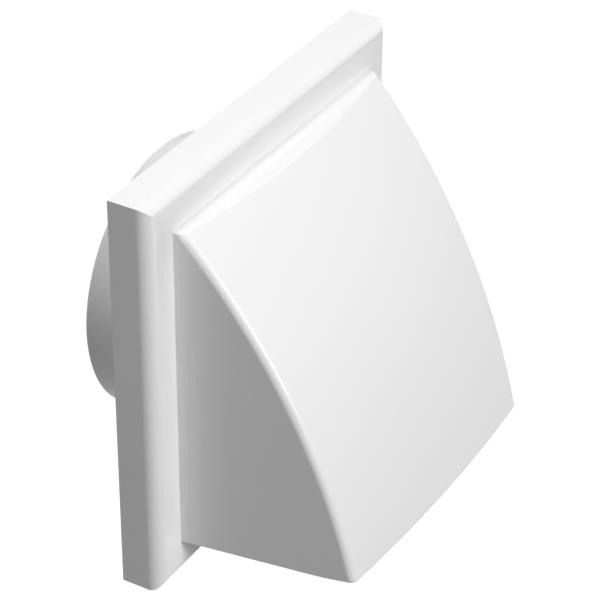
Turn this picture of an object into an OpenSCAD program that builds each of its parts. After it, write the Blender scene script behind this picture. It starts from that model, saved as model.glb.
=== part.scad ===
// Hooded wall vent for a round duct, with a non-return flap behind the cowl.
//
// Everything is drawn lying on its back, on the wall plane z = 0: x runs to the right
// as seen from outside, y runs up the wall and z comes out of it. on_wall() then stands
// the finished piece up, so that outside faces -Y and the spigot runs along +Y.

/* [Cowl frame] */
// Outside width and height of the square frame
frame_w = 150; // [146:1:160]
// How far the frame's face stands off the wall
frame_d = 15.4; // [14.4:0.2:20]
// Rounding of the frame's front edge
frame_round = 5; // [3:0.5:6]
// Wall thickness of the cowl moulding
wall = 2.2; // [1.8:0.1:2.6]

/* [Hood] */
// Width of the hood where it leaves the frame
hood_w = 124.2; // [122:0.2:126]
// Width of the hood at its lip
lip_w = 117.2; // [114:0.2:120]
// Height of the hood's ledge above the spigot's axis
hood_top = 61.6; // [61:0.1:63]
// Depth of the hood's foot below the spigot's axis
hood_foot = 60.8; // [60:0.1:63]
// Depth of the lip below the spigot's axis
lip_drop = 55; // [54:0.1:58]
// Reach of the lip's corners, from the frame's face
lip_reach = 65.2; // [62:0.2:72]
// Depth of the ledge at its ends, from the frame's face
ledge_reach = 3.4; // [3:0.1:6]
// Radius of the face's sweep, in side view
face_r = 255; // [240:5:300]
// How far the face bulges between its corners at the ledge
ledge_bulge = 6.2; // [4:0.1:7]
// How far the face bulges between its corners at the lip
lip_bulge = 2.6; // [1.6:0.1:3]
// Rounding between the face and the cheeks
cheek_round = 2.9; // [1.8:0.1:3.2]
// Rounding of the ledge's front edge and of the lip
brow_round = 1.2; // [0.8:0.1:1.6]

/* [Wall plate and spigot] */
// Outside diameter of the spigot, for 100 mm duct
spigot_od = 98.5; // [97:0.1:99]
// Wall thickness of the spigot
spigot_wall = 2; // [1.8:0.1:2.4]
// How far the spigot stands behind the wall plate
spigot_len = 29.8; // [25:0.1:40]
// Thickness of the wall plate
plate_t = 2.5; // [2.2:0.1:2.6]
// Height of the flap's seat above the wall
seat_h = 9.3; // [9:0.1:9.6]
// Distance between the fixing slots, both ways
fixing_pitch = 127; // [126:0.5:127]
// Width of a fixing slot
fixing_slot_w = 4.6; // [4.2:0.1:5]
// Length of a fixing slot, end to end
fixing_slot_len = 9; // [8:0.5:10]

/* [Flap] */
// Thickness of the flap
flap_t = 1.2; // [1:0.1:1.4]
// How far the flap overlaps the seat all round
flap_lap = 1.5; // [1.2:0.1:1.6]
// Height of the flap's pivots above the spigot's axis
pivot_up = 54.5; // [54.2:0.1:54.8]
// Radius of the flap's pivots
pivot_r = 2; // [1.8:0.05:2.2]
// Play between a pivot and its socket, on the radius
pivot_play = 0.08; // [0.05:0.01:0.1]
// Thickness of the foam ring that the flap closes on
seal_t = 1.2; // [1:0.1:1.4]

/* [Mouth grille] */
// Thickness of the grille
grille_t = 2.4; // [2:0.1:2.8]
// Spacing of the grille's bars
bar_pitch = 7.4; // [6.6:0.1:9]
// Width of a bar
bar_w = 1.6; // [1.4:0.1:2]
// Width of the grille's border
border_w = 3; // [2.4:0.1:3.6]
// Height of the grille's underside above the mouth's plane
grille_lift = 2.2; // [2:0.1:2.6]

/* [Fits] */
// Gap between the wall plate and the cowl's skirt
skirt_gap = 0.3; // [0.25:0.05:0.4]
// Gap round the mouth grille
grille_gap = 0.35; // [0.3:0.05:0.4]

/* [Hidden] */

eps = 0.01;
round_fn = 96;
pivot_fn = 48;
bead_fn = 16;

// The hood's face in side view is one arc, through the ledge's end and the lip's corner.
ledge_end = [ledge_reach, hood_top];
lip_corner = [lip_reach, -lip_drop];
face_chord = norm(lip_corner - ledge_end);
face_out = [hood_top + lip_drop, lip_reach - ledge_reach] / face_chord;
face_centre = (ledge_end + lip_corner) / 2 - face_out * sqrt(face_r ^ 2 - (face_chord / 2) ^ 2);
cheek_taper = (hood_w - lip_w) / 2 / lip_reach;
mouth_rise = (hood_foot - lip_drop) / lip_reach;
mouth_tilt = atan(mouth_rise);
face_steps = 20;
bulge_steps = 16;
corner_steps = 5;
brow_steps = 4;
hood_bury = 1;
inner_cheek_round = 0.6;
round_share = 0.8;
inner_brow_round = 0.5;

// The skirt's inside, the plate that drops into it, and the rim round that plate.
catch_out = 0.7;
skirt_in = frame_w / 2 - wall;
plate_half = skirt_in - skirt_gap;
rim_half = plate_half - catch_out;
rim_t = 1.8;
rim_h = 9.5;

// Snap fits: beads on the cowl that pass over catches on the plate and the grille.
snap_at = 40;
snap_len = 12;
snap_gap = 0.3;
catch_h = 3.2;
catch_root = 0.5;
skirt_bead_r = 0.8;
skirt_bead_len = snap_len + 4;
skirt_bead_z = plate_t + snap_gap + skirt_bead_r;
catch_z = skirt_bead_z + skirt_bead_r + snap_gap;
grille_bead_r = 0.9;
grille_bead_len = 6;
grille_bead_gap = 0.1;
grille_bead_at = [12.5, 46.5];

spigot_r = spigot_od / 2;
bore_r = spigot_r - spigot_wall;
spigot_chamfer = 1;
seat_w = 3.3;
collar_r = bore_r + seat_w;
seal_in = 0.5;
seal_out = 0.4;
rib_t = 1.5;
rib_top = 6;
rib_bury = 0.5;
pad_r = 6;
pad_h = 1;

// The flap hangs in front of the seat, on a barrel whose pivots run in two ears.
flap_gap = 0.1;
flap_back = seat_h + seal_t + flap_gap;
flap_r = collar_r + flap_lap;
flap_rib_t = 1;
flap_rib_h = 1.2;
flap_rib_x = 0.38 * flap_r;
pivot_z = flap_back - 1;
barrel_r = 2.6;
barrel_over = 0.6;
barrel_half = flap_r + barrel_over;
barrel_gap = 0.6;
ear_in = barrel_half + barrel_gap;
ear_t = 4;
ear_r = 3.8;
pivot_short = 0.2;
pivot_half = ear_in + ear_t - pivot_short;
socket_neck = 0.85;

// Stands what is drawn on the wall plane upright.
module on_wall() {
    rotate([90, 0, 0]) children();
}

// Half width of the hood at depth d from the frame's face.
function cheek(d, inset) = hood_w / 2 - cheek_taper * d - inset;

// How far the face bulges at height h.
function bulge(h) = lip_bulge + (ledge_bulge - lip_bulge) * (h + lip_drop) / (hood_top + lip_drop);

// Depth of the face's corners at height h, on a face set in by inset.
function face_depth(h, inset) =
    face_centre.x + sqrt((face_r - inset) ^ 2 - (h - face_centre.y) ^ 2);

// One level section of the hood, from the left of its root round the face to the right:
// reach is the face's depth at its corners, lean the cosine of its slope there, bow its
// bulge, root the depth where the section starts and r the radius of its corners.
function hood_outline(reach, lean, bow, root, inset, r) =
    let (
        w = cheek(reach, inset),
        side = atan(cheek_taper / lean),
        front = atan(2 * bow * lean / w),
        n = [cos(side) + sin(front), sin(side) + cos(front)],
        centre = [w, reach * lean] - n * r / (1 + sin(side + front)),
        corner = [for (i = [0 : corner_steps])
            let (a = side + (90 - front - side) * i / corner_steps)
            [centre.x + r * cos(a), (centre.y + r * sin(a)) / lean]],
        edge = centre.x + r * sin(front),
        face = [for (i = [1 : bulge_steps - 1])
            let (x = edge * (1 - 2 * i / bulge_steps))
            [x, reach + bow * (1 - (x / w) ^ 2)]],
        right = concat([[cheek(root, inset), root]], corner)
    )
    concat(
        [for (p = right) [-p.x, p.y]],
        [for (p = face) [-p.x, p.y]],
        [for (i = [len(right) - 1 : -1 : 0]) right[i]]
    );

// The hood's side profile from lip to ledge, set in by inset: each step holds the face's
// depth, its height and the cosine of its slope. r rounds the two ends.
function hood_profile(inset, r) =
    let (
        radius = face_r - inset,
        top = hood_top - inset,
        brow_h = top - r,
        brow_d = face_depth(brow_h, inset + r),
        brow_a = atan2(brow_h - face_centre.y, brow_d - face_centre.x),
        rise = r / cos(mouth_tilt) - hood_foot - face_centre.y,
        qa = 1 + mouth_rise ^ 2,
        qb = 2 * (mouth_rise * rise - face_centre.x),
        qc = face_centre.x ^ 2 + rise ^ 2 - (radius - r) ^ 2,
        lip_d = (-qb + sqrt(qb ^ 2 - 4 * qa * qc)) / (2 * qa),
        lip_h = mouth_rise * lip_d + r / cos(mouth_tilt) - hood_foot,
        lip_a = atan2(lip_h - face_centre.y, lip_d - face_centre.x)
    )
    concat(
        [for (i = [0 : brow_steps - 1])
            let (a = mouth_tilt - 90 + (lip_a + 90 - mouth_tilt) * i / brow_steps)
            [lip_d + r * cos(a), lip_h + r * sin(a), cos(lip_a)]],
        [for (i = [0 : face_steps])
            let (a = lip_a + (brow_a - lip_a) * i / face_steps)
            [face_centre.x + radius * cos(a), face_centre.y + radius * sin(a), cos(a)]],
        [for (i = [1 : brow_steps])
            let (a = brow_a + (90 - brow_a) * i / brow_steps)
            [brow_d + r * cos(a), brow_h + r * sin(a), cos(brow_a)]]
    );

// One ring of the hood's skin: a section laid on a plane that tilts from the mouth's
// slope at the lip to level at the ledge. sink carries the ring below the mouth, most of
// it at the lip, so that the face plate keeps its height under the hood. Where the hood
// is thin, at its ledge, its corners are rounded less, so that they stay off the frame.
function hood_ring(step, root, inset, r, sink) =
    let (
        share = (step.y + lip_drop) / (hood_top - inset + lip_drop),
        foot = -hood_foot + share * (hood_top - inset + hood_foot),
        corner = min(r, round_share * step.x)
    )
    [for (p = hood_outline(step.x, step.z, bulge(step.y), root, inset, corner))
        let (out = p.y / step.x)
        [p.x, foot + (step.y - foot) * out - sink * (0.1 + 0.9 * out), frame_d + p.y]];

// A closed skin over a stack of rings that all have the same number of points.
module skin(rings) {
    n = len(rings[0]);
    last = len(rings) - 1;
    side = [for (i = [0 : last - 1], j = [0 : n - 1])
        let (a = i * n + j, b = i * n + (j + 1) % n)
        each [[a, a + n, b], [b, a + n, b + n]]];
    polyhedron(
        points = [for (ring = rings) each ring],
        faces = concat(
            [[for (j = [0 : n - 1]) j]],
            side,
            [[for (j = [n - 1 : -1 : 0]) last * n + j]]
        ),
        convexity = 4
    );
}

// The hood as a solid, from depth root to its face. sink extends it below the mouth.
module hood_form(root, inset, corner_r, end_r, sink) {
    steps = hood_profile(inset, end_r);
    rings = [for (s = steps) hood_ring(s, root, inset, corner_r, 0)];
    skirt = sink > 0 ? [hood_ring(steps[0], root, inset, corner_r, sink)] : [];
    skin(concat(skirt, rings));
}

// The frame's block with its mitred round front edge, set in by inset.
module frame_block(inset) {
    half = frame_w / 2 - inset;
    depth = frame_d - inset;
    r = frame_round - inset;
    intersection() {
        frame_section(half, depth, r);
        rotate([0, 0, 90]) frame_section(half, depth, r);
    }
}

module frame_section(half, depth, r) {
    translate([0, half, 0])
        rotate([90, 0, 0])
            linear_extrude(2 * half) {
                translate([-half, -eps]) square([2 * half, depth - r + eps]);
                translate([r - half, -eps]) square([2 * (half - r), depth + eps]);
                for (side = [-1, 1])
                    translate([side * (half - r), depth - r]) circle(r, $fn = 64);
            }
}

// A rounded snap bead of length len along the x axis.
module bead(len, r) {
    hull()
        for (end = [-1, 1])
            translate([end * (len / 2 - r), 0, 0]) sphere(r, $fn = bead_fn);
}

// The skirt and the face plate, before the hood's opening is cut.
module frame_shell() {
    difference() {
        intersection() {
            frame_block(0);
            translate([-frame_w, -frame_w, 0]) cube([2 * frame_w, 2 * frame_w, frame_d]);
        }
        translate([0, 0, -eps]) frame_block(wall);
    }
}

// The hood's cavity runs on through the face plate and out of the mouth.
module hooded_frame() {
    difference() {
        union() {
            frame_shell();
            hood_form(-hood_bury, 0, cheek_round, brow_round, 0);
        }
        hood_form(-wall - hood_bury, wall, inner_cheek_round, inner_brow_round, wall);
    }
}

// Beads inside the skirt that hold the cowl on the wall plate.
module skirt_beads() {
    for (turn = [0 : 90 : 270], x = [-snap_at, snap_at])
        rotate([0, 0, turn])
            translate([x, skirt_in, skirt_bead_z]) bead(skirt_bead_len, skirt_bead_r);
}

// Beads inside the cheeks, above and below the mouth grille.
module grille_beads() {
    clear = grille_bead_r + grille_bead_gap;
    heights = [grille_lift - clear, grille_lift + grille_t + clear];
    for (side = [-1, 1], d = grille_bead_at, h = heights)
        translate([side * cheek(d, wall), mouth_rise * d - hood_foot + h, frame_d + d])
            rotate([-mouth_tilt, 0, 0])
                rotate([0, -90, 0]) bead(grille_bead_len, grille_bead_r);
}

module cowl() {
    color([0.95, 0.95, 0.95])
        on_wall() {
            hooded_frame();
            skirt_beads();
            grille_beads();
        }
}

// The plate, its rim and the ribs that run from the collar to the rim.
module plate_tray() {
    translate([-plate_half, -plate_half, 0])
        cube([2 * plate_half, 2 * plate_half, plate_t]);
    difference() {
        translate([-rim_half, -rim_half, 0]) cube([2 * rim_half, 2 * rim_half, rim_h]);
        translate([rim_t - rim_half, rim_t - rim_half, -1])
            cube([2 * (rim_half - rim_t), 2 * (rim_half - rim_t), rim_h + 2]);
    }
    for (a = [0 : 30 : 330])
        rotate([0, 0, a])
            translate([bore_r + rib_bury, -rib_t / 2, plate_t - rib_bury])
                cube([rib_reach(a) - bore_r - rib_bury, rib_t, rib_top - plate_t + rib_bury]);
}

// Distance from the axis to the middle of the rim's wall along a rib at angle a.
function rib_reach(a) = (rim_half - rim_t / 2) / max(abs(cos(a)), abs(sin(a)));

// The spigot behind the plate and the collar in front of it, turned as one tube.
module duct_tube() {
    rotate_extrude($fn = round_fn)
        polygon([
            [bore_r, -spigot_len],
            [spigot_r - spigot_chamfer, -spigot_len],
            [spigot_r, -spigot_len + spigot_chamfer],
            [spigot_r, eps],
            [collar_r, eps],
            [collar_r, seat_h],
            [bore_r, seat_h]
        ]);
}

// An ear that carries one of the flap's pivots.
module pivot_ear() {
    translate([ear_in, pivot_up - ear_r, plate_t - rib_bury])
        cube([ear_t, 2 * ear_r, pivot_z - plate_t + rib_bury]);
    translate([ear_in, pivot_up, pivot_z])
        rotate([0, 90, 0]) cylinder(r = ear_r, h = ear_t, $fn = pivot_fn);
}

// The socket in an ear, with the narrow way in that the pivot snaps through.
module pivot_socket() {
    translate([ear_in - 1, pivot_up, pivot_z])
        rotate([0, 90, 0]) cylinder(r = pivot_r + pivot_play, h = ear_t + 2, $fn = pivot_fn);
    translate([ear_in - 1, pivot_up - pivot_r * socket_neck, pivot_z])
        cube([ear_t + 2, 2 * pivot_r * socket_neck, ear_r + 1]);
}

module fixing_slot(r, len, depth) {
    for (end = [-1, 1])
        translate([end * (len / 2 - r), 0, 0]) cylinder(r = r, h = depth, $fn = 32);
    translate([r - len / 2, -r, 0]) cube([len - 2 * r, 2 * r, depth]);
}

// A catch on the rim that the cowl's bead snaps behind.
module rim_catch() {
    translate([-snap_len / 2, 0, 0])
        rotate([90, 0, 90])
            linear_extrude(snap_len)
                polygon([
                    [rim_half - catch_root, catch_z],
                    [plate_half, catch_z],
                    [plate_half, catch_z + catch_out],
                    [rim_half, catch_z + catch_h],
                    [rim_half - catch_root, catch_z + catch_h]
                ]);
}

module wall_plate() {
    color([0.93, 0.93, 0.93])
        on_wall()
            difference() {
                union() {
                    plate_tray();
                    duct_tube();
                    for (side = [0, 1]) mirror([side, 0, 0]) pivot_ear();
                    for (x = [-1, 1], y = [-1, 1])
                        translate([x, y, 0] * fixing_pitch / 2)
                            cylinder(r = pad_r, h = plate_t + pad_h, $fn = pivot_fn);
                    for (turn = [0 : 90 : 270], x = [-snap_at, snap_at])
                        rotate([0, 0, turn]) translate([x, 0, 0]) rim_catch();
                }
                translate([0, 0, -1]) cylinder(r = bore_r, h = seat_h + 2, $fn = round_fn);
                for (side = [0, 1]) mirror([side, 0, 0]) pivot_socket();
                for (x = [-1, 1], y = [-1, 1])
                    translate([x * fixing_pitch / 2, y * fixing_pitch / 2, -1])
                        fixing_slot(fixing_slot_w / 2, fixing_slot_len, plate_t + pad_h + 2);
            }
}

// The flap's outline: round below, straight up to its pivots, set in by inset.
module flap_outline(inset) {
    circle(flap_r - inset, $fn = round_fn);
    translate([inset - flap_r, 0]) square([2 * (flap_r - inset), pivot_up - inset]);
}

// The lines of the flap's stiffening ribs: round its edge, two upright and one across.
module flap_ribs() {
    difference() {
        flap_outline(0);
        flap_outline(flap_rib_t);
    }
    intersection() {
        flap_outline(flap_rib_t / 2);
        union() {
            for (x = [-1, 1] * flap_rib_x)
                translate([x - flap_rib_t / 2, -flap_r]) square([flap_rib_t, 2 * flap_r]);
            translate([-flap_r, -flap_rib_t / 2]) square([2 * flap_r, flap_rib_t]);
        }
    }
}

// A round bar on the flap's hinge axis, of radius r and reaching half to each side.
module hinge_bar(r, half) {
    translate([-half, pivot_up, pivot_z])
        rotate([0, 90, 0]) cylinder(r = r, h = 2 * half, $fn = pivot_fn);
}

module flap() {
    color([0.9, 0.9, 0.9])
        on_wall() {
            translate([0, 0, flap_back]) {
                linear_extrude(flap_t) flap_outline(0);
                linear_extrude(flap_t + flap_rib_h) flap_ribs();
            }
            hinge_bar(barrel_r, barrel_half);
            hinge_bar(pivot_r, pivot_half);
        }
}

module seat_seal() {
    color([0.2, 0.2, 0.21])
        on_wall()
            rotate_extrude($fn = round_fn)
                translate([bore_r + seal_in, seat_h])
                    square([seat_w - seal_in - seal_out, seal_t]);
}

// The grille's outline in the mouth, as x and depth from the frame's face, set in by inset.
module grille_outline(inset) {
    top = grille_lift + grille_t - lip_drop;
    reach = face_depth(top, wall) - grille_gap - inset;
    polygon(hood_outline(reach, 1, lip_bulge, grille_gap + inset, wall + grille_gap + inset, 1));
}

module grille_bars() {
    count = floor((lip_w / 2 - wall - border_w) / bar_pitch);
    for (i = [-count : count])
        translate([i * bar_pitch - bar_w / 2, 0]) square([bar_w, lip_reach]);
    for (d = [1, 2] * lip_reach / 3)
        translate([-hood_w / 2, d - bar_w / 2]) square([hood_w, bar_w]);
}

module mouth_grille() {
    color([0.94, 0.94, 0.94])
        on_wall()
            translate([0, -hood_foot, frame_d])
                rotate([90 - mouth_tilt, 0, 0])
                    translate([0, 0, -grille_lift - grille_t])
                        linear_extrude(grille_t) {
                            difference() {
                                grille_outline(0);
                                grille_outline(border_w);
                            }
                            intersection() {
                                grille_outline(1);
                                grille_bars();
                            }
                        }
}

cowl();
wall_plate();
flap();
seat_seal();
mouth_grille();
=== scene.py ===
"""Dresses a hooded wall vent and lights it for a studio picture.

The vent is a white moulded cowl that snaps over a wall plate with a round duct spigot. A flap
hangs inside on two pivots and closes on a foam seal, and a bar grille guards the mouth under
the hood. The cowl is modelled here by hand; the other pieces are refined copies of the solids.
All sizes are in metres, in the part's frame: X to the right, -Y out of the wall, Z up the wall.
"""

import logging
import math
from collections.abc import Callable, Iterator
from contextlib import contextmanager
from dataclasses import dataclass, field
from enum import Enum

import bmesh
import bpy
from mathutils import Matrix, Vector


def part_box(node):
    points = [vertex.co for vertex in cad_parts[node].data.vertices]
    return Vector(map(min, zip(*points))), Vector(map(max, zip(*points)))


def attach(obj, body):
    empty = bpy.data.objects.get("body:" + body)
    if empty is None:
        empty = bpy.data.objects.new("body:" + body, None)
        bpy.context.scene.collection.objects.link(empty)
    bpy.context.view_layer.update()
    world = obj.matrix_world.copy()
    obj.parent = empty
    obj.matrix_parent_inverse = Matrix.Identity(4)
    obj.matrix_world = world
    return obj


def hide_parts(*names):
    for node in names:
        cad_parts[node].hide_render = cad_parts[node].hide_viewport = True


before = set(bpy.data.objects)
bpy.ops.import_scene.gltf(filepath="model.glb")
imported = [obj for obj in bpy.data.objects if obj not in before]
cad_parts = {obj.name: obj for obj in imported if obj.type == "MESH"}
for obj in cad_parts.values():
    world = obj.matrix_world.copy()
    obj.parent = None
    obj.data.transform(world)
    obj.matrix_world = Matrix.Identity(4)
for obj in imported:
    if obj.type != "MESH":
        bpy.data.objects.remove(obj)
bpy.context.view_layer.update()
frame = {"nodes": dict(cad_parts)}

MM = 0.001
MERGE = 0.004 * MM
SAME_PLANE = math.radians(0.3)
SQUARE = math.pi / 2

log = logging.getLogger("vent")


class Body(Enum):
    """The two rigid bodies that the vent's pieces ride on."""

    HOUSING = "housing"
    FLAP = "flap"


class Slot(Enum):
    """The record's material slots."""

    SHELL = "shell_plastic"
    PLATE = "plate_plastic"
    FLAP = "flap_plastic"
    FOAM = "foam"
    GRILLE = "grille_plastic"


class Pick(Enum):
    """What a selection on the bench is made of."""

    VERTICES = "VERT"
    EDGES = "EDGE"
    FACES = "FACE"


class Joining(Enum):
    """What one solid does to another."""

    ADDS = "UNION"
    TAKES_AWAY = "DIFFERENCE"


def clear_selection() -> None:
    """Leaves nothing selected, so that an operator works only on what is picked next."""
    bpy.ops.object.select_all(action="DESELECT")


class Workpiece:
    """One mesh on the bench, picked by place or normal and then shaped by operators."""

    ROUND_PROFILE = 0.5
    SOFT_EDGE_SEGMENTS = 2
    AREA_WEIGHT = 100

    def __init__(self, obj: bpy.types.Object) -> None:
        """Takes an object as it is.

        Args:
            obj: The mesh object to work on.
        """
        self.obj = obj

    @classmethod
    def taken(cls, name: str) -> "Workpiece":
        """Names the primitive that was just added and sets its place into its mesh.

        Args:
            name: The piece's name.

        Returns:
            The new workpiece, at the origin and unturned.
        """
        obj = bpy.context.active_object
        obj.name = name
        obj.data.name = name
        bpy.ops.object.transform_apply(location=True, rotation=True, scale=True)
        return cls(obj)

    @classmethod
    def sheet(cls, name: str, columns: int, rows: int) -> "Workpiece":
        """Starts a flat upright sheet, two metres wide and high, round the origin.

        Args:
            name: The piece's name.
            columns: Number of faces across.
            rows: Number of faces up.

        Returns:
            The new workpiece.
        """
        clear_selection()
        bpy.ops.mesh.primitive_grid_add(
            x_subdivisions=columns, y_subdivisions=rows, size=2, rotation=(SQUARE, 0, 0)
        )
        return cls.taken(name)

    @classmethod
    def block(cls, name: str, low: Vector, high: Vector) -> "Workpiece":
        """Starts a block between two corners.

        Args:
            name: The piece's name.
            low: The lowest corner.
            high: The highest corner.

        Returns:
            The new workpiece.
        """
        clear_selection()
        bpy.ops.mesh.primitive_cube_add(size=1, location=(low + high) / 2, scale=high - low)
        return cls.taken(name)

    @classmethod
    def ball(cls, name: str, radius: float, segments: int) -> "Workpiece":
        """Starts a ball round the origin, with its poles along Z.

        Args:
            name: The piece's name.
            radius: Its radius.
            segments: Number of faces round it.

        Returns:
            The new workpiece.
        """
        clear_selection()
        bpy.ops.mesh.primitive_uv_sphere_add(
            segments=segments, ring_count=segments // 2, radius=radius
        )
        return cls.taken(name)

    @classmethod
    def copy_of(cls, name: str, node: str) -> "Workpiece":
        """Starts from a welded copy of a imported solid, with its flat faces made whole again.

        Args:
            name: The piece's name.
            node: The solid's name.

        Returns:
            The new workpiece.
        """
        source = frame["nodes"][node]
        obj = bpy.data.objects.new(name, source.data.copy())
        bpy.context.scene.collection.objects.link(obj)
        obj.data.materials.clear()
        piece = cls(obj)
        with piece.bench():
            bpy.ops.mesh.select_all(action="SELECT")
            bpy.ops.mesh.remove_doubles(threshold=MERGE)
            bpy.ops.mesh.customdata_custom_splitnormals_clear()
            bpy.ops.mesh.faces_shade_flat()
            bpy.ops.mesh.dissolve_limited(angle_limit=SAME_PLANE)
        return piece

    def placed(self, place: Vector, along: Vector) -> "Workpiece":
        """Makes a copy of this piece, turned and moved in its own mesh.

        Args:
            place: Where the copy's origin goes.
            along: The direction that the copy's Z axis turns to.

        Returns:
            The copy, at the origin and unturned.
        """
        obj = self.obj.copy()
        obj.data = self.obj.data.copy()
        bpy.context.scene.collection.objects.link(obj)
        turn = along.normalized().to_track_quat("Z", "X").to_matrix().to_4x4()
        obj.matrix_world = Matrix.Translation(place) @ turn
        copy = Workpiece(obj)
        copy.alone()
        bpy.ops.object.transform_apply(location=True, rotation=True, scale=True)
        return copy

    def discard(self) -> None:
        """Takes the piece off the bench."""
        bpy.data.objects.remove(self.obj)

    @contextmanager
    def bench(self) -> Iterator[None]:
        """Opens the mesh in edit mode with nothing selected, and closes it afterwards."""
        self.alone()
        bpy.ops.object.mode_set(mode="EDIT")
        bpy.ops.mesh.select_all(action="DESELECT")
        yield
        bpy.ops.object.mode_set(mode="OBJECT")

    def alone(self) -> None:
        """Selects this piece and nothing else."""
        clear_selection()
        self.obj.select_set(True)
        bpy.context.view_layer.objects.active = self.obj

    def pick(self, kind: Pick, test: Callable[..., bool]) -> None:
        """Selects the elements that pass a test, in edit mode.

        Args:
            kind: Vertices, edges or faces.
            test: Takes one bmesh element and says whether it is picked.
        """
        bpy.ops.mesh.select_mode(type=kind.value)
        bpy.ops.mesh.select_all(action="DESELECT")
        mesh = bmesh.from_edit_mesh(self.obj.data)
        mesh.normal_update()
        elements = {Pick.VERTICES: mesh.verts, Pick.EDGES: mesh.edges, Pick.FACES: mesh.faces}
        picked = [element for element in elements[kind] if test(element)]
        for element in picked:
            element.select_set(True)
        bmesh.update_edit_mesh(self.obj.data)

    def pick_between(
        self, one: Callable[[bmesh.types.BMFace], bool], other: Callable[[bmesh.types.BMFace], bool]
    ) -> None:
        """Selects the edges that part one kind of face from another, in edit mode.

        Args:
            one: Says whether a face is of the first kind.
            other: Says whether a face is of the second kind.
        """

        def parts_them(edge: bmesh.types.BMEdge) -> bool:
            """Says whether an edge has one kind of face on each side.

            Args:
                edge: The edge to look at.

            Returns:
                True if the edge is picked.
            """
            if len(edge.link_faces) != 2:
                return False
            first, second = edge.link_faces
            return (one(first) and other(second)) or (one(second) and other(first))

        self.pick(Pick.EDGES, parts_them)

    def round_picked(self, radius: float, turn: float, segments: int) -> None:
        """Rounds the picked edges, in edit mode.

        Args:
            radius: The fillet's radius.
            turn: The angle between the normals on its two sides.
            segments: Number of faces across the fillet.
        """
        bpy.ops.mesh.bevel(
            offset=radius * math.tan(turn / 2),
            offset_type="OFFSET",
            segments=segments,
            profile=self.ROUND_PROFILE,
            affect="EDGES",
            clamp_overlap=False,
        )

    def cut(self, point: Vector, outward: Vector) -> None:
        """Saws off what lies in front of a plane and closes the cut, in edit mode.

        Args:
            point: A point on the plane.
            outward: The plane's normal, towards what falls off.
        """
        bpy.ops.mesh.select_mode(type="FACE")
        bpy.ops.mesh.select_all(action="SELECT")
        bpy.ops.mesh.bisect(
            plane_co=point, plane_no=outward.normalized(), use_fill=True, clear_outer=True
        )

    def clean(self) -> None:
        """Welds the vertices that coincide and points every face outwards, in edit mode."""
        bpy.ops.mesh.select_all(action="SELECT")
        bpy.ops.mesh.remove_doubles(threshold=MERGE)
        bpy.ops.mesh.select_all(action="SELECT")
        bpy.ops.mesh.normals_make_consistent(inside=False)

    def combine(self, other: "Workpiece", joining: Joining) -> None:
        """Adds another solid to this one or takes it away, and uses it up.

        Args:
            other: The solid to combine with.
            joining: What the other solid does to this one.
        """
        self.alone()
        boolean = self.obj.modifiers.new("combine", "BOOLEAN")
        boolean.operation = joining.value
        boolean.solver = "EXACT"
        boolean.object = other.obj
        bpy.ops.object.modifier_apply(modifier=boolean.name)
        other.discard()

    def soften_edges(self, width: float, angle: float) -> None:
        """Breaks the sharp edges, as a mould's own edges do.

        Args:
            width: Width of the broken edge.
            angle: Edges that turn by more than this are broken.
        """
        self.alone()
        bevel = self.obj.modifiers.new("soften", "BEVEL")
        bevel.width = width
        bevel.segments = self.SOFT_EDGE_SEGMENTS
        bevel.limit_method = "ANGLE"
        bevel.angle_limit = angle
        bevel.use_clamp_overlap = True
        bpy.ops.object.modifier_apply(modifier=bevel.name)

    def smooth(self, angle: float) -> None:
        """Shades the curved stretches smooth and keeps the flat ones flat.

        Args:
            angle: Edges that turn by more than this stay sharp.
        """
        self.alone()
        bpy.ops.object.shade_smooth_by_angle(angle=angle, keep_sharp_edges=False)
        weighting = self.obj.modifiers.new("weighting", "WEIGHTED_NORMAL")
        weighting.keep_sharp = True
        weighting.weight = self.AREA_WEIGHT
        bpy.ops.object.modifier_apply(modifier=weighting.name)

    def seat(self, body: Body, slot: Slot, finish: bpy.types.Material, node: str) -> None:
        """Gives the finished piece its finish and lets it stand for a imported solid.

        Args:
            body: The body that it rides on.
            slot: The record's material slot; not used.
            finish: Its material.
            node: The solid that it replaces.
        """
        self.obj.data.materials.clear()
        self.obj.data.materials.append(finish)
        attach(self.obj, body.value)
        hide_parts(node)
        log.info("%s: %d faces on %s", self.obj.name, len(self.obj.data.polygons), body.value)


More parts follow.
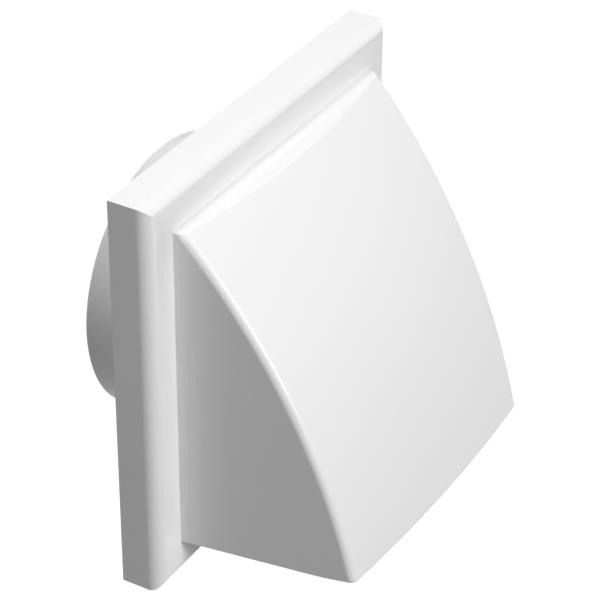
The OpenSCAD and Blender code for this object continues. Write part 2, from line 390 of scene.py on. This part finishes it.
@dataclass(frozen=True)
class HoodForm:
    """The hood as a solid, cut from a bowed slab by four planes, with its edges rounded.

    Heights are above the spigot's axis and depths are from the frame's face, outwards. The
    bowed face meets its cheeks at a slope of edge_slope times its bulge over its width. The
    sheet that it starts from is spare_width times as wide and runs spare_angle past the lip,
    so that the saw meets it on every side. The hollow's foot is root_sink of a wall lower
    than the hood's.
    """

    root_width: float = 124.2 * MM
    lip_width: float = 117.2 * MM
    top: float = 61.6 * MM
    foot: float = -60.8 * MM
    lip_height: float = -55.0 * MM
    lip_depth: float = 65.2 * MM
    ledge_depth: float = 3.4 * MM
    face_radius: float = 255 * MM
    ledge_bulge: float = 6.2 * MM
    lip_bulge: float = 2.6 * MM
    edge_slope: float = 3.0
    cheek_round: float = 2.9 * MM
    brow_round: float = 1.2 * MM
    inner_cheek_round: float = 0.6 * MM
    inner_brow_round: float = 0.5 * MM
    bury: float = 1.0 * MM
    columns: int = 16
    rows: int = 36
    round_segments: int = 8
    spare_width: float = 1.07
    spare_angle: float = 0.03
    root_sink: float = 0.1

    @property
    def face_centre(self) -> Vector:
        """Finds the centre of the face's arc in side view, from the ledge and the lip.

        Returns:
            Its depth and its height.
        """
        ledge = Vector((self.ledge_depth, self.top))
        lip = Vector((self.lip_depth, self.lip_height))
        chord = lip - ledge
        out = Vector((-chord.y, chord.x)).normalized()
        return (ledge + lip) / 2 - out * math.sqrt(self.face_radius**2 - chord.length_squared / 4)

    @property
    def taper(self) -> float:
        """How much each cheek leans in for each metre outwards."""
        return (self.root_width - self.lip_width) / 2 / self.lip_depth

    def angle_at(self, height: float) -> float:
        """Slope of the face's normal above the horizontal, at a height."""
        return math.asin((height - self.face_centre.y) / self.face_radius)

    def half_width(self, depth: float, inset: float) -> float:
        """Half the hood's width at a depth, set in by inset."""
        return self.root_width / 2 - self.taper * depth - inset

    def bulge(self, height: float) -> float:
        """How far the face stands out in its middle at a height."""
        share = (height - self.lip_height) / (self.top - self.lip_height)
        return self.lip_bulge + (self.ledge_bulge - self.lip_bulge) * share

    def solid(self, name: str, face_y: float, inset: float, buried: float) -> Workpiece:
        """Models the hood's outside, or the hollow inside it.

        Args:
            name: The piece's name.
            face_y: Where the frame's face is.
            inset: 0 for the outside, or the wall's thickness for the hollow.
            buried: How far the solid runs back behind the frame's face.

        Returns:
            The closed solid.
        """
        piece = Workpiece.sheet(name, self.columns, self.rows)
        with piece.bench():
            self._bow(piece)
            self._sweep(piece, face_y, inset)
            self._thicken(face_y + buried)
            self._trim(piece, face_y, inset)
            piece.clean()
            self._round_edges(piece, inset)
        return piece

    def _bow(self, piece: Workpiece) -> None:
        """Bows the flat sheet outwards by one metre in its middle, column by column.

        Args:
            piece: The sheet, in edit mode.
        """
        for column in range(self.columns + 1):
            across = (2 * column / self.columns - 1) * self.spare_width
            per_row = self.columns + 1
            piece.pick(Pick.VERTICES, lambda vert, c=column: vert.index % per_row == c)
            bpy.ops.transform.translate(value=(0, across**2 - 1, 0))

    def _sweep(self, piece: Workpiece, face_y: float, inset: float) -> None:
        """Lays the sheet's rows along the face's arc, each at its own width and bulge.

        The ledge and the lip fall halfway between two rows, which leaves room for their
        rounding, and the first row lies below the mouth.

        Args:
            piece: The bowed sheet, in edit mode.
            face_y: Where the frame's face is.
            inset: 0 for the outside, or the wall's thickness for the hollow.
        """
        radius = self.face_radius - inset
        centre = self.face_centre
        lowest = self.angle_at(self.lip_height)
        step = (self.angle_at(self.top) - lowest) / (self.rows - 1)
        for row in range(self.rows + 1):
            start = 2 * row / self.rows - 1
            angle = lowest + step * (row - 0.5) if row else lowest - self.spare_angle
            depth = centre.x + radius * math.cos(angle)
            height = centre.y + radius * math.sin(angle)
            per_row = self.columns + 1
            piece.pick(Pick.VERTICES, lambda vert, r=row: vert.index // per_row == r)
            bpy.ops.transform.resize(
                value=(self.spare_width * self.half_width(depth, inset), self.bulge(height), 1),
                center_override=(0, 0, start),
            )
            bpy.ops.transform.translate(value=(0, face_y - depth, height - start))

    @staticmethod
    def _thicken(back_y: float) -> None:
        """Draws the swept sheet back to a flat plane, which makes it a slab, in edit mode.

        Args:
            back_y: Where the slab's back is.
        """
        bpy.ops.mesh.select_mode(type="FACE")
        bpy.ops.mesh.select_all(action="SELECT")
        bpy.ops.mesh.extrude_region_move()
        bpy.ops.transform.resize(value=(1, 0, 1), center_override=(0, back_y, 0))

    def _trim(self, piece: Workpiece, face_y: float, inset: float) -> None:
        """Saws the slab to its cheeks, its ledge and its mouth.

        Args:
            piece: The slab, in edit mode.
            face_y: Where the frame's face is.
            inset: 0 for the outside, or the wall's thickness for the hollow.
        """
        for side in (-1, 1):
            root = Vector((side * self.half_width(0, inset), face_y, 0))
            piece.cut(root, Vector((side, -self.taper, 0)))
        piece.cut(Vector((0, face_y, self.top - inset)), Vector((0, 0, 1)))
        root_height = self.foot - self.root_sink * inset
        lip_height = self.lip_height - inset
        rise = (lip_height - root_height) / self.lip_depth
        piece.cut(Vector((0, face_y, root_height)), Vector((0, -rise, -1)))

    def _round_edges(self, piece: Workpiece, inset: float) -> None:
        """Rounds the face's edges: down both cheeks, along the ledge and along the lip.

        Args:
            piece: The closed solid, in edit mode.
            inset: 0 for the outside, or the wall's thickness for the hollow.
        """
        cheek_round, brow_round = self.cheek_round, self.brow_round
        if inset:
            cheek_round, brow_round = self.inner_cheek_round, self.inner_brow_round
        face_slope = self.edge_slope * self.ledge_bulge / self.root_width
        cheek_turn = SQUARE - math.atan(self.taper) - face_slope
        top_turn = SQUARE - self.angle_at(self.top)
        mouth_slope = math.atan2(self.lip_height - self.foot, self.lip_depth)
        lip_turn = self.angle_at(self.lip_height) + SQUARE - mouth_slope
        piece.pick_between(is_cheek, is_front)
        piece.round_picked(cheek_round, cheek_turn, self.round_segments)
        piece.pick_between(is_level_top, is_front_or_corner)
        piece.round_picked(brow_round, top_turn, self.round_segments // 2)
        piece.pick_between(is_underside, is_front_or_corner)
        piece.round_picked(brow_round, lip_turn, self.round_segments // 2)


def is_cheek(face: bmesh.types.BMFace, sideways: float = 0.99) -> bool:
    """Says whether a face looks sideways."""
    return abs(face.normal.x) > sideways


def is_front(face: bmesh.types.BMFace, outwards: float = 0.3, sideways: float = 0.5) -> bool:
    """Says whether a face looks out of the wall, and not sideways."""
    return face.normal.y < -outwards and abs(face.normal.x) < sideways


def is_front_or_corner(
    face: bmesh.types.BMFace, outwards: float = 0.1, upright: float = 0.9
) -> bool:
    """Says whether a face is on the hood's front or on a rounded corner beside it."""
    return face.normal.y < -outwards and abs(face.normal.z) < upright


def is_level_top(face: bmesh.types.BMFace, level: float = 0.999) -> bool:
    """Says whether a face looks straight up."""
    return face.normal.z > level


def is_underside(face: bmesh.types.BMFace, downwards: float = 0.98) -> bool:
    """Says whether a face looks down out of the mouth."""
    return face.normal.z < -downwards


def is_back(face: bmesh.types.BMFace, inwards: float = 0.9) -> bool:
    """Says whether a face looks at the wall."""
    return face.normal.y > inwards


@dataclass(frozen=True)
class CowlFrame:
    """The square frame that the hood grows out of: a face plate with a skirt round it."""

    width: float
    depth: float = 15.4 * MM
    wall: float = 2.2 * MM
    edge_round: float = 5.0 * MM
    edge_segments: int = 12
    skirt_break: float = 0.25 * MM
    skirt_break_segments: int = 2

    def solid(self, name: str) -> Workpiece:
        """Models the frame as a shallow box, open at the back, with mitred round front edges.

        Args:
            name: The piece's name.

        Returns:
            The closed solid.
        """
        half = self.width / 2
        piece = Workpiece.block(name, Vector((-half, -self.depth, -half)), Vector((half, 0, half)))
        floor_y = self.wall - self.depth
        with piece.bench():
            piece.pick(Pick.FACES, is_back)
            bpy.ops.mesh.inset(thickness=self.wall, depth=0)
            bpy.ops.mesh.extrude_region_move(TRANSFORM_OT_translate={"value": (0, floor_y, 0)})
            self._round_rim(piece, -self.depth, self.edge_round)
            self._round_rim(piece, floor_y, self.edge_round - self.wall)
            piece.pick(Pick.EDGES, self._is_outer_rim)
            piece.round_picked(self.skirt_break, SQUARE, self.skirt_break_segments)
            piece.clean()
        return piece

    def _round_rim(self, piece: Workpiece, level: float, radius: float) -> None:
        """Rounds the four edges that lie at one depth.

        Args:
            piece: The frame.
            level: Where the edges are, along Y.
            radius: Radius of the rounding.
        """
        piece.pick(
            Pick.EDGES,
            lambda edge: all(abs(vert.co.y - level) < MERGE for vert in edge.verts),
        )
        piece.round_picked(radius, SQUARE, self.edge_segments)

    def _is_outer_rim(self, edge: bmesh.types.BMEdge) -> bool:
        """Says whether an edge is on the outside of the skirt's rear rim."""
        reach = max(max(abs(vert.co.x), abs(vert.co.z)) for vert in edge.verts)
        return all(abs(vert.co.y) < MERGE for vert in edge.verts) and reach > self.width / 2 - MERGE


@dataclass(frozen=True)
class SnapBead:
    """A round-ended bead that a snap fit passes over."""

    length: float
    radius: float
    segments: int = 16

    def build(self) -> Workpiece:
        """Models the bead round the origin, along Z.

        Returns:
            The closed bead, from which the others are copied.
        """
        piece = Workpiece.ball("snap_bead", self.radius, self.segments)
        stretch = self.length / 2 - self.radius
        with piece.bench():
            for end in (-1, 1):
                piece.pick(Pick.VERTICES, lambda vert, e=end: vert.co.z * e > MERGE)
                bpy.ops.transform.translate(value=(0, 0, end * stretch))
        return piece


@dataclass(frozen=True)
class Cowl:
    """The visible moulding: frame, hood and the beads that hold the plate and the grille."""

    frame: CowlFrame
    hood: HoodForm = field(default_factory=HoodForm)
    skirt_bead: SnapBead = SnapBead(length=16 * MM, radius=0.8 * MM)
    skirt_bead_at: float = 40 * MM
    skirt_bead_up: float = 3.6 * MM
    grille_bead: SnapBead = SnapBead(length=6 * MM, radius=0.9 * MM)
    grille_bead_depths: tuple[float, float] = (12.5 * MM, 46.5 * MM)
    grille_bead_heights: tuple[float, float] = (1.2 * MM, 5.6 * MM)
    smooth_angle: float = math.radians(30)

    def build(self) -> Workpiece:
        """Joins the hood to the frame, hollows it through to the mouth and adds the beads.

        Returns:
            The finished moulding.
        """
        shell = self.frame.solid("cowl_moulding")
        face_y = -self.frame.depth
        wall = self.frame.wall
        bury = self.hood.bury
        shell.combine(self.hood.solid("hood_outside", face_y, 0, bury), Joining.ADDS)
        hollow = self.hood.solid("hood_hollow", face_y, wall, wall + bury)
        shell.combine(hollow, Joining.TAKES_AWAY)
        self._bead(shell, self.skirt_bead, self._skirt_bead_places())
        self._bead(shell, self.grille_bead, self._grille_bead_places())
        with shell.bench():
            shell.clean()
        shell.smooth(self.smooth_angle)
        return shell

    def dress(self, piece: Workpiece, finish: bpy.types.Material) -> None:
        """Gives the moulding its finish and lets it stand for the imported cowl."""
        piece.seat(Body.HOUSING, Slot.SHELL, finish, "cowl")

    @staticmethod
    def _bead(
        shell: Workpiece, bead: SnapBead, places: Iterator[tuple[Vector, Vector]]
    ) -> None:
        """Models one bead and joins a copy of it to the shell at each place.

        Args:
            shell: The moulding.
            bead: The bead's form.
            places: The middle and the direction of each copy.
        """
        model = bead.build()
        for place, along in places:
            shell.combine(model.placed(place, along), Joining.ADDS)
        model.discard()

    def _skirt_bead_places(self) -> Iterator[tuple[Vector, Vector]]:
        """Finds the beads that hold the wall plate, two on each side of the skirt.

        Yields:
            Each bead's middle and direction.
        """
        inside = self.frame.width / 2 - self.frame.wall
        for turn in range(4):
            spin = Matrix.Rotation(turn * SQUARE, 3, "Y")
            for side in (-1, 1):
                place = Vector((side * self.skirt_bead_at, -self.skirt_bead_up, inside))
                yield spin @ place, spin @ Vector((1, 0, 0))

    def _grille_bead_places(self) -> Iterator[tuple[Vector, Vector]]:
        """Finds the beads that hold the grille, above and below it on both cheeks.

        Yields:
            Each bead's middle and direction.
        """
        rise = (self.hood.lip_height - self.hood.foot) / self.hood.lip_depth
        for side in (-1, 1):
            for depth in self.grille_bead_depths:
                x = side * self.hood.half_width(depth, self.frame.wall)
                mouth = self.hood.foot + rise * depth
                for height in self.grille_bead_heights:
                    place = Vector((x, -self.frame.depth - depth, mouth + height))
                    yield place, Vector((0, -1, rise))


@dataclass(frozen=True)
class InnerPart:
    """A moulded or cut piece whose solid has its true shape and only needs its edges broken."""

    name: str
    node: str
    body: Body
    slot: Slot
    edge_break: float
    break_angle: float = math.radians(40)
    smooth_angle: float = math.radians(32)

    def build(self) -> Workpiece:
        """Copies the solid, breaks its sharp edges and shades it.

        Returns:
            The finished piece.
        """
        piece = Workpiece.copy_of(self.name, self.node)
        piece.soften_edges(self.edge_break, self.break_angle)
        piece.smooth(self.smooth_angle)
        return piece

    def dress(self, piece: Workpiece, finish: bpy.types.Material) -> None:
        """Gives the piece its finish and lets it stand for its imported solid."""
        piece.seat(self.body, self.slot, finish, self.node)


@dataclass(frozen=True)
class MouldedSurface:
    """The surface that every moulding shares, as a node group.

    A faint broad flow of the plastic varies the colour and the gloss. The height is a fine
    spark-eroded grain over low waves.
    """

    name: str = "moulded_surface"
    flow_scale: float = 14.0
    flow_detail: float = 3.0
    flow_roughness: float = 0.55
    flow_range: tuple[float, float] = (0.3, 0.7)
    grain_scale: float = 2600.0
    grain_detail: float = 2.0
    grain_roughness: float = 0.6
    wave_scale: float = 180.0
    wave_detail: float = 1.0
    wave_share: float = 0.35
    gloss_range: tuple[float, float] = (0.3, 0.36)

    def build(self) -> bpy.types.NodeTree:
        """Makes the group, or finds it if it is there.

        Returns:
            A group from a position to a flow mask, a grain height and a roughness.
        """
        if self.name in bpy.data.node_groups:
            return bpy.data.node_groups[self.name]
        group = bpy.data.node_groups.new(self.name, "ShaderNodeTree")
        self._sockets(group)
        nodes, links = group.nodes, group.links
        entry = nodes.new("NodeGroupInput")
        leave = nodes.new("NodeGroupOutput")

        flow = nodes.new("ShaderNodeTexNoise")
        flow.inputs["Scale"].default_value = self.flow_scale
        flow.inputs["Detail"].default_value = self.flow_detail
        flow.inputs["Roughness"].default_value = self.flow_roughness
        links.new(entry.outputs["Position"], flow.inputs["Vector"])

        grain = nodes.new("ShaderNodeTexNoise")
        grain.inputs["Detail"].default_value = self.grain_detail
        grain.inputs["Roughness"].default_value = self.grain_roughness
        links.new(entry.outputs["Position"], grain.inputs["Vector"])
        links.new(entry.outputs["Grain Scale"], grain.inputs["Scale"])

        waves = nodes.new("ShaderNodeTexNoise")
        waves.inputs["Scale"].default_value = self.wave_scale
        waves.inputs["Detail"].default_value = self.wave_detail
        links.new(entry.outputs["Position"], waves.inputs["Vector"])

        height = nodes.new("ShaderNodeMath")
        height.operation = "MULTIPLY_ADD"
        height.inputs[1].default_value = self.wave_share
        links.new(waves.outputs["Fac"], height.inputs[0])
        links.new(grain.outputs["Fac"], height.inputs[2])

        gloss = nodes.new("ShaderNodeMapRange")
        gloss.inputs["From Min"].default_value = self.flow_range[0]
        gloss.inputs["From Max"].default_value = self.flow_range[1]
        links.new(flow.outputs["Fac"], gloss.inputs["Value"])
        links.new(entry.outputs["Roughness Low"], gloss.inputs["To Min"])
        links.new(entry.outputs["Roughness High"], gloss.inputs["To Max"])

        links.new(flow.outputs["Fac"], leave.inputs["Flow"])
        links.new(height.outputs["Value"], leave.inputs["Height"])
        links.new(gloss.outputs["Result"], leave.inputs["Roughness"])
        return group

    def _sockets(self, group: bpy.types.NodeTree) -> None:
        """Gives the group its inputs, with their usual values, and its outputs.

        Args:
            group: The new node group.
        """
        socket = group.interface.new_socket
        socket("Position", in_out="INPUT", socket_type="NodeSocketVector")
        usual = {
            "Grain Scale": self.grain_scale,
            "Roughness Low": self.gloss_range[0],
            "Roughness High": self.gloss_range[1],
        }
        for name, value in usual.items():
            entry = socket(name, in_out="INPUT", socket_type="NodeSocketFloat")
            entry.default_value = value
        for name in ("Flow", "Height", "Roughness"):
            socket(name, in_out="OUTPUT", socket_type="NodeSocketFloat")


@dataclass(frozen=True)
class MouldedPlastic:
    """White thermoplastic as it leaves the mould: even, faintly grained, with a soft gloss."""

    name: str
    colour: tuple[float, float, float]
    shade: tuple[float, float, float]
    roughness: tuple[float, float]
    grain_scale: float = 2600.0
    grain_depth: float = 0.006 * MM
    grain_strength: float = 0.6
    ior: float = 1.5
    surface: MouldedSurface = MouldedSurface()

    def build(self) -> bpy.types.Material:
        """Makes the material.

        Returns:
            A node material that reads object coordinates.
        """
        material = bpy.data.materials.new(self.name)
        material.use_nodes = True
        nodes, links = material.node_tree.nodes, material.node_tree.links
        shader = nodes["Principled BSDF"]
        shader.inputs["IOR"].default_value = self.ior

        place = nodes.new("ShaderNodeTexCoord")
        surface = nodes.new("ShaderNodeGroup")
        surface.node_tree = self.surface.build()
        surface.inputs["Grain Scale"].default_value = self.grain_scale
        surface.inputs["Roughness Low"].default_value = self.roughness[0]
        surface.inputs["Roughness High"].default_value = self.roughness[1]
        links.new(place.outputs["Object"], surface.inputs["Position"])

        tint = nodes.new("ShaderNodeMix")
        tint.data_type = "RGBA"
        tint.inputs["A"].default_value = (*self.shade, 1)
        tint.inputs["B"].default_value = (*self.colour, 1)
        links.new(surface.outputs["Flow"], tint.inputs["Factor"])

        bump = nodes.new("ShaderNodeBump")
        bump.inputs["Strength"].default_value = self.grain_strength
        bump.inputs["Distance"].default_value = self.grain_depth
        links.new(surface.outputs["Height"], bump.inputs["Height"])

        links.new(tint.outputs["Result"], shader.inputs["Base Color"])
        links.new(surface.outputs["Roughness"], shader.inputs["Roughness"])
        links.new(bump.outputs["Normal"], shader.inputs["Normal"])
        return material


@dataclass(frozen=True)
class ClosedCellFoam:
    """Dark closed-cell foam with a fine open skin."""

    name: str = "seal_foam"
    colour: tuple[float, float, float] = (0.035, 0.035, 0.038)
    pore: tuple[float, float, float] = (0.012, 0.012, 0.013)
    cells: float = 1400.0
    cell_wall: tuple[float, float] = (0.1, 0.6)
    roughness: float = 0.92
    depth: float = 0.12 * MM
    strength: float = 0.7

    def build(self) -> bpy.types.Material:
        """Makes the material.

        Returns:
            A node material with rounded cells.
        """
        material = bpy.data.materials.new(self.name)
        material.use_nodes = True
        nodes, links = material.node_tree.nodes, material.node_tree.links
        shader = nodes["Principled BSDF"]
        shader.inputs["Roughness"].default_value = self.roughness

        place = nodes.new("ShaderNodeTexCoord")
        cells = nodes.new("ShaderNodeTexVoronoi")
        cells.inputs["Scale"].default_value = self.cells
        links.new(place.outputs["Object"], cells.inputs["Vector"])

        ramp = nodes.new("ShaderNodeMapRange")
        ramp.inputs["From Min"].default_value = self.cell_wall[0]
        ramp.inputs["From Max"].default_value = self.cell_wall[1]
        links.new(cells.outputs["Distance"], ramp.inputs["Value"])

        tint = nodes.new("ShaderNodeMix")
        tint.data_type = "RGBA"
        tint.inputs["A"].default_value = (*self.colour, 1)
        tint.inputs["B"].default_value = (*self.pore, 1)
        links.new(ramp.outputs["Result"], tint.inputs["Factor"])

        bump = nodes.new("ShaderNodeBump")
        bump.inputs["Strength"].default_value = self.strength
        bump.inputs["Distance"].default_value = self.depth
        bump.invert = True
        links.new(ramp.outputs["Result"], bump.inputs["Height"])

        links.new(tint.outputs["Result"], shader.inputs["Base Color"])
        links.new(bump.outputs["Normal"], shader.inputs["Normal"])
        return material


@dataclass(frozen=True)
class Lamp:
    """A rectangular soft lamp."""

    name: str
    place: tuple[float, float, float]
    size: tuple[float, float]
    power: float
    aim: tuple[float, float, float] = (0.0, -0.03, 0.0)

    def build(self) -> bpy.types.Object:
        """Hangs the lamp and turns it to its aim.

        Returns:
            The lamp.
        """
        light = bpy.data.lights.new(self.name, "AREA")
        light.shape = "RECTANGLE"
        light.size, light.size_y = self.size
        light.energy = self.power
        lamp = bpy.data.objects.new(self.name, light)
        bpy.context.scene.collection.objects.link(lamp)
        towards = Vector(self.aim) - Vector(self.place)
        lamp.matrix_world = (
            Matrix.Translation(self.place) @ towards.to_track_quat("-Z", "Y").to_matrix().to_4x4()
        )
        return lamp


@dataclass(frozen=True)
class Viewpoint:
    """The camera, where the photograph was taken from."""

    azimuth: float = math.radians(-59.415)
    elevation: float = math.radians(33.409)
    roll: float = math.radians(0.290)
    place: tuple[float, float, float] = (-0.62205, -0.39243, 0.48112)
    lens: float = 153.44
    clip: tuple[float, float] = (0.01, 100.0)

    def build(self) -> bpy.types.Object:
        """Sets up the camera and makes it the scene's own.

        Returns:
            The camera.
        """
        data = bpy.data.cameras.new("camera")
        data.lens = self.lens
        data.clip_start, data.clip_end = self.clip
        camera = bpy.data.objects.new("camera", data)
        bpy.context.scene.collection.objects.link(camera)
        back = Vector(
            (
                math.sin(self.azimuth) * math.cos(self.elevation),
                -math.cos(self.azimuth) * math.cos(self.elevation),
                math.sin(self.elevation),
            )
        )
        level = (-back).to_track_quat("-Z", "Y").to_matrix().to_4x4()
        camera.matrix_world = (
            Matrix.Translation(self.place) @ level @ Matrix.Rotation(self.roll, 4, "Z")
        )
        bpy.context.scene.camera = camera
        return camera


@dataclass(frozen=True)
class Studio:
    """A pale floor under a white sky, with soft lamps."""

    lamps: tuple[Lamp, ...]
    floor_height: float = -0.32
    floor_reach: float = 12.0
    floor_corners: int = 96
    floor_roughness: float = 0.9
    floor_colour: float = 0.3
    floor_lift: float = 0.9
    sky_white: float = 1.0

    def build(self) -> None:
        """Builds the floor, the sky, the lamps and the camera."""
        self._floor()
        self._sky()
        for lamp in self.lamps:
            lamp.build()
        Viewpoint().build()
        bpy.context.scene.view_settings.view_transform = "Standard"

    def _floor(self) -> None:
        """Lays the floor, a matt disc that is lifted to white where it is seen."""
        clear_selection()
        bpy.ops.mesh.primitive_circle_add(
            vertices=self.floor_corners,
            radius=self.floor_reach,
            fill_type="NGON",
            location=(0, 0, self.floor_height),
        )
        floor = Workpiece.taken("studio_floor")
        material = bpy.data.materials.new("studio_floor")
        material.use_nodes = True
        nodes, links = material.node_tree.nodes, material.node_tree.links
        shader = nodes["Principled BSDF"]
        shader.inputs["Base Color"].default_value = (*(self.floor_colour,) * 3, 1)
        shader.inputs["Roughness"].default_value = self.floor_roughness
        shader.inputs["Specular IOR Level"].default_value = 0.0
        shader.inputs["Emission Color"].default_value = (1, 1, 1, 1)
        links.new(self._seen(nodes, links, self.floor_lift), shader.inputs["Emission Strength"])
        floor.obj.data.materials.append(material)

    def _sky(self) -> None:
        """Makes the sky, white where it is seen and no light of its own."""
        world = bpy.data.worlds.new("studio_sky")
        bpy.context.scene.world = world
        world.use_nodes = True
        nodes, links = world.node_tree.nodes, world.node_tree.links
        background = nodes["Background"]
        background.inputs["Color"].default_value = (1, 1, 1, 1)
        links.new(self._seen(nodes, links, self.sky_white), background.inputs["Strength"])

    @staticmethod
    def _seen(
        nodes: bpy.types.Nodes, links: bpy.types.NodeLinks, amount: float
    ) -> bpy.types.NodeSocket:
        """Gives an amount to the rays that see a surface directly or mirrored, and none to light.

        Args:
            nodes: The material's or the world's nodes.
            links: Their links.
            amount: The value that such rays get.

        Returns:
            The socket that holds the value.
        """
        path = nodes.new("ShaderNodeLightPath")
        seen = nodes.new("ShaderNodeMath")
        seen.operation = "MAXIMUM"
        links.new(path.outputs["Is Camera Ray"], seen.inputs[0])
        links.new(path.outputs["Is Glossy Ray"], seen.inputs[1])
        either = nodes.new("ShaderNodeMath")
        either.operation = "MAXIMUM"
        links.new(seen.outputs["Value"], either.inputs[0])
        links.new(path.outputs["Is Transmission Ray"], either.inputs[1])
        scaled = nodes.new("ShaderNodeMath")
        scaled.operation = "MULTIPLY"
        scaled.inputs[1].default_value = amount
        links.new(either.outputs["Value"], scaled.inputs[0])
        return scaled.outputs["Value"]


LAMPS = (
    Lamp("key_lamp", (-0.15, -1.43, 0.52), (0.35, 0.35), 12.7),
    Lamp("top_lamp", (0.0, 0.18, 1.49), (0.6, 0.6), 10.0),
    Lamp("left_lamp", (-0.86, -0.03, 1.23), (0.6, 0.6), 4.4),
    Lamp("front_lamp", (-0.41, -0.90, 1.15), (0.6, 0.6), 2.8),
    Lamp("rear_lamp", (0.88, 0.71, 0.96), (0.8, 0.8), 2.5),
)

SHELL_WHITE = MouldedPlastic("shell_white", (0.88, 0.88, 0.88), (0.86, 0.86, 0.86), (0.28, 0.34))
PLATE_WHITE = MouldedPlastic("plate_white", (0.86, 0.86, 0.86), (0.83, 0.83, 0.83), (0.34, 0.4))
FLAP_WHITE = MouldedPlastic("flap_white", (0.84, 0.84, 0.84), (0.81, 0.81, 0.81), (0.3, 0.38))
GRILLE_WHITE = MouldedPlastic("grille_white", (0.87, 0.87, 0.87), (0.84, 0.84, 0.84), (0.3, 0.38))

INNER_PARTS = (
    InnerPart("wall_plate_moulding", "wall_plate", Body.HOUSING, Slot.PLATE, 0.25 * MM),
    InnerPart("flap_moulding", "flap", Body.FLAP, Slot.FLAP, 0.18 * MM),
    InnerPart("seal_ring", "seat_seal", Body.HOUSING, Slot.FOAM, 0.25 * MM),
    InnerPart("grille_moulding", "mouth_grille", Body.HOUSING, Slot.GRILLE, 0.25 * MM),
)


def main() -> None:
    """Builds the studio, the cowl and the inner parts, and reports each piece."""
    logging.basicConfig(level=logging.INFO, format="%(name)s: %(message)s")
    Studio(LAMPS).build()
    low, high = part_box("cowl")
    cowl = Cowl(CowlFrame(width=high.x - low.x))
    cowl.dress(cowl.build(), SHELL_WHITE.build())
    finishes = {
        Slot.PLATE: PLATE_WHITE,
        Slot.FLAP: FLAP_WHITE,
        Slot.FOAM: ClosedCellFoam(),
        Slot.GRILLE: GRILLE_WHITE,
    }
    for part in INNER_PARTS:
        part.dress(part.build(), finishes[part.slot].build())


if __name__ == "__main__":
    main()
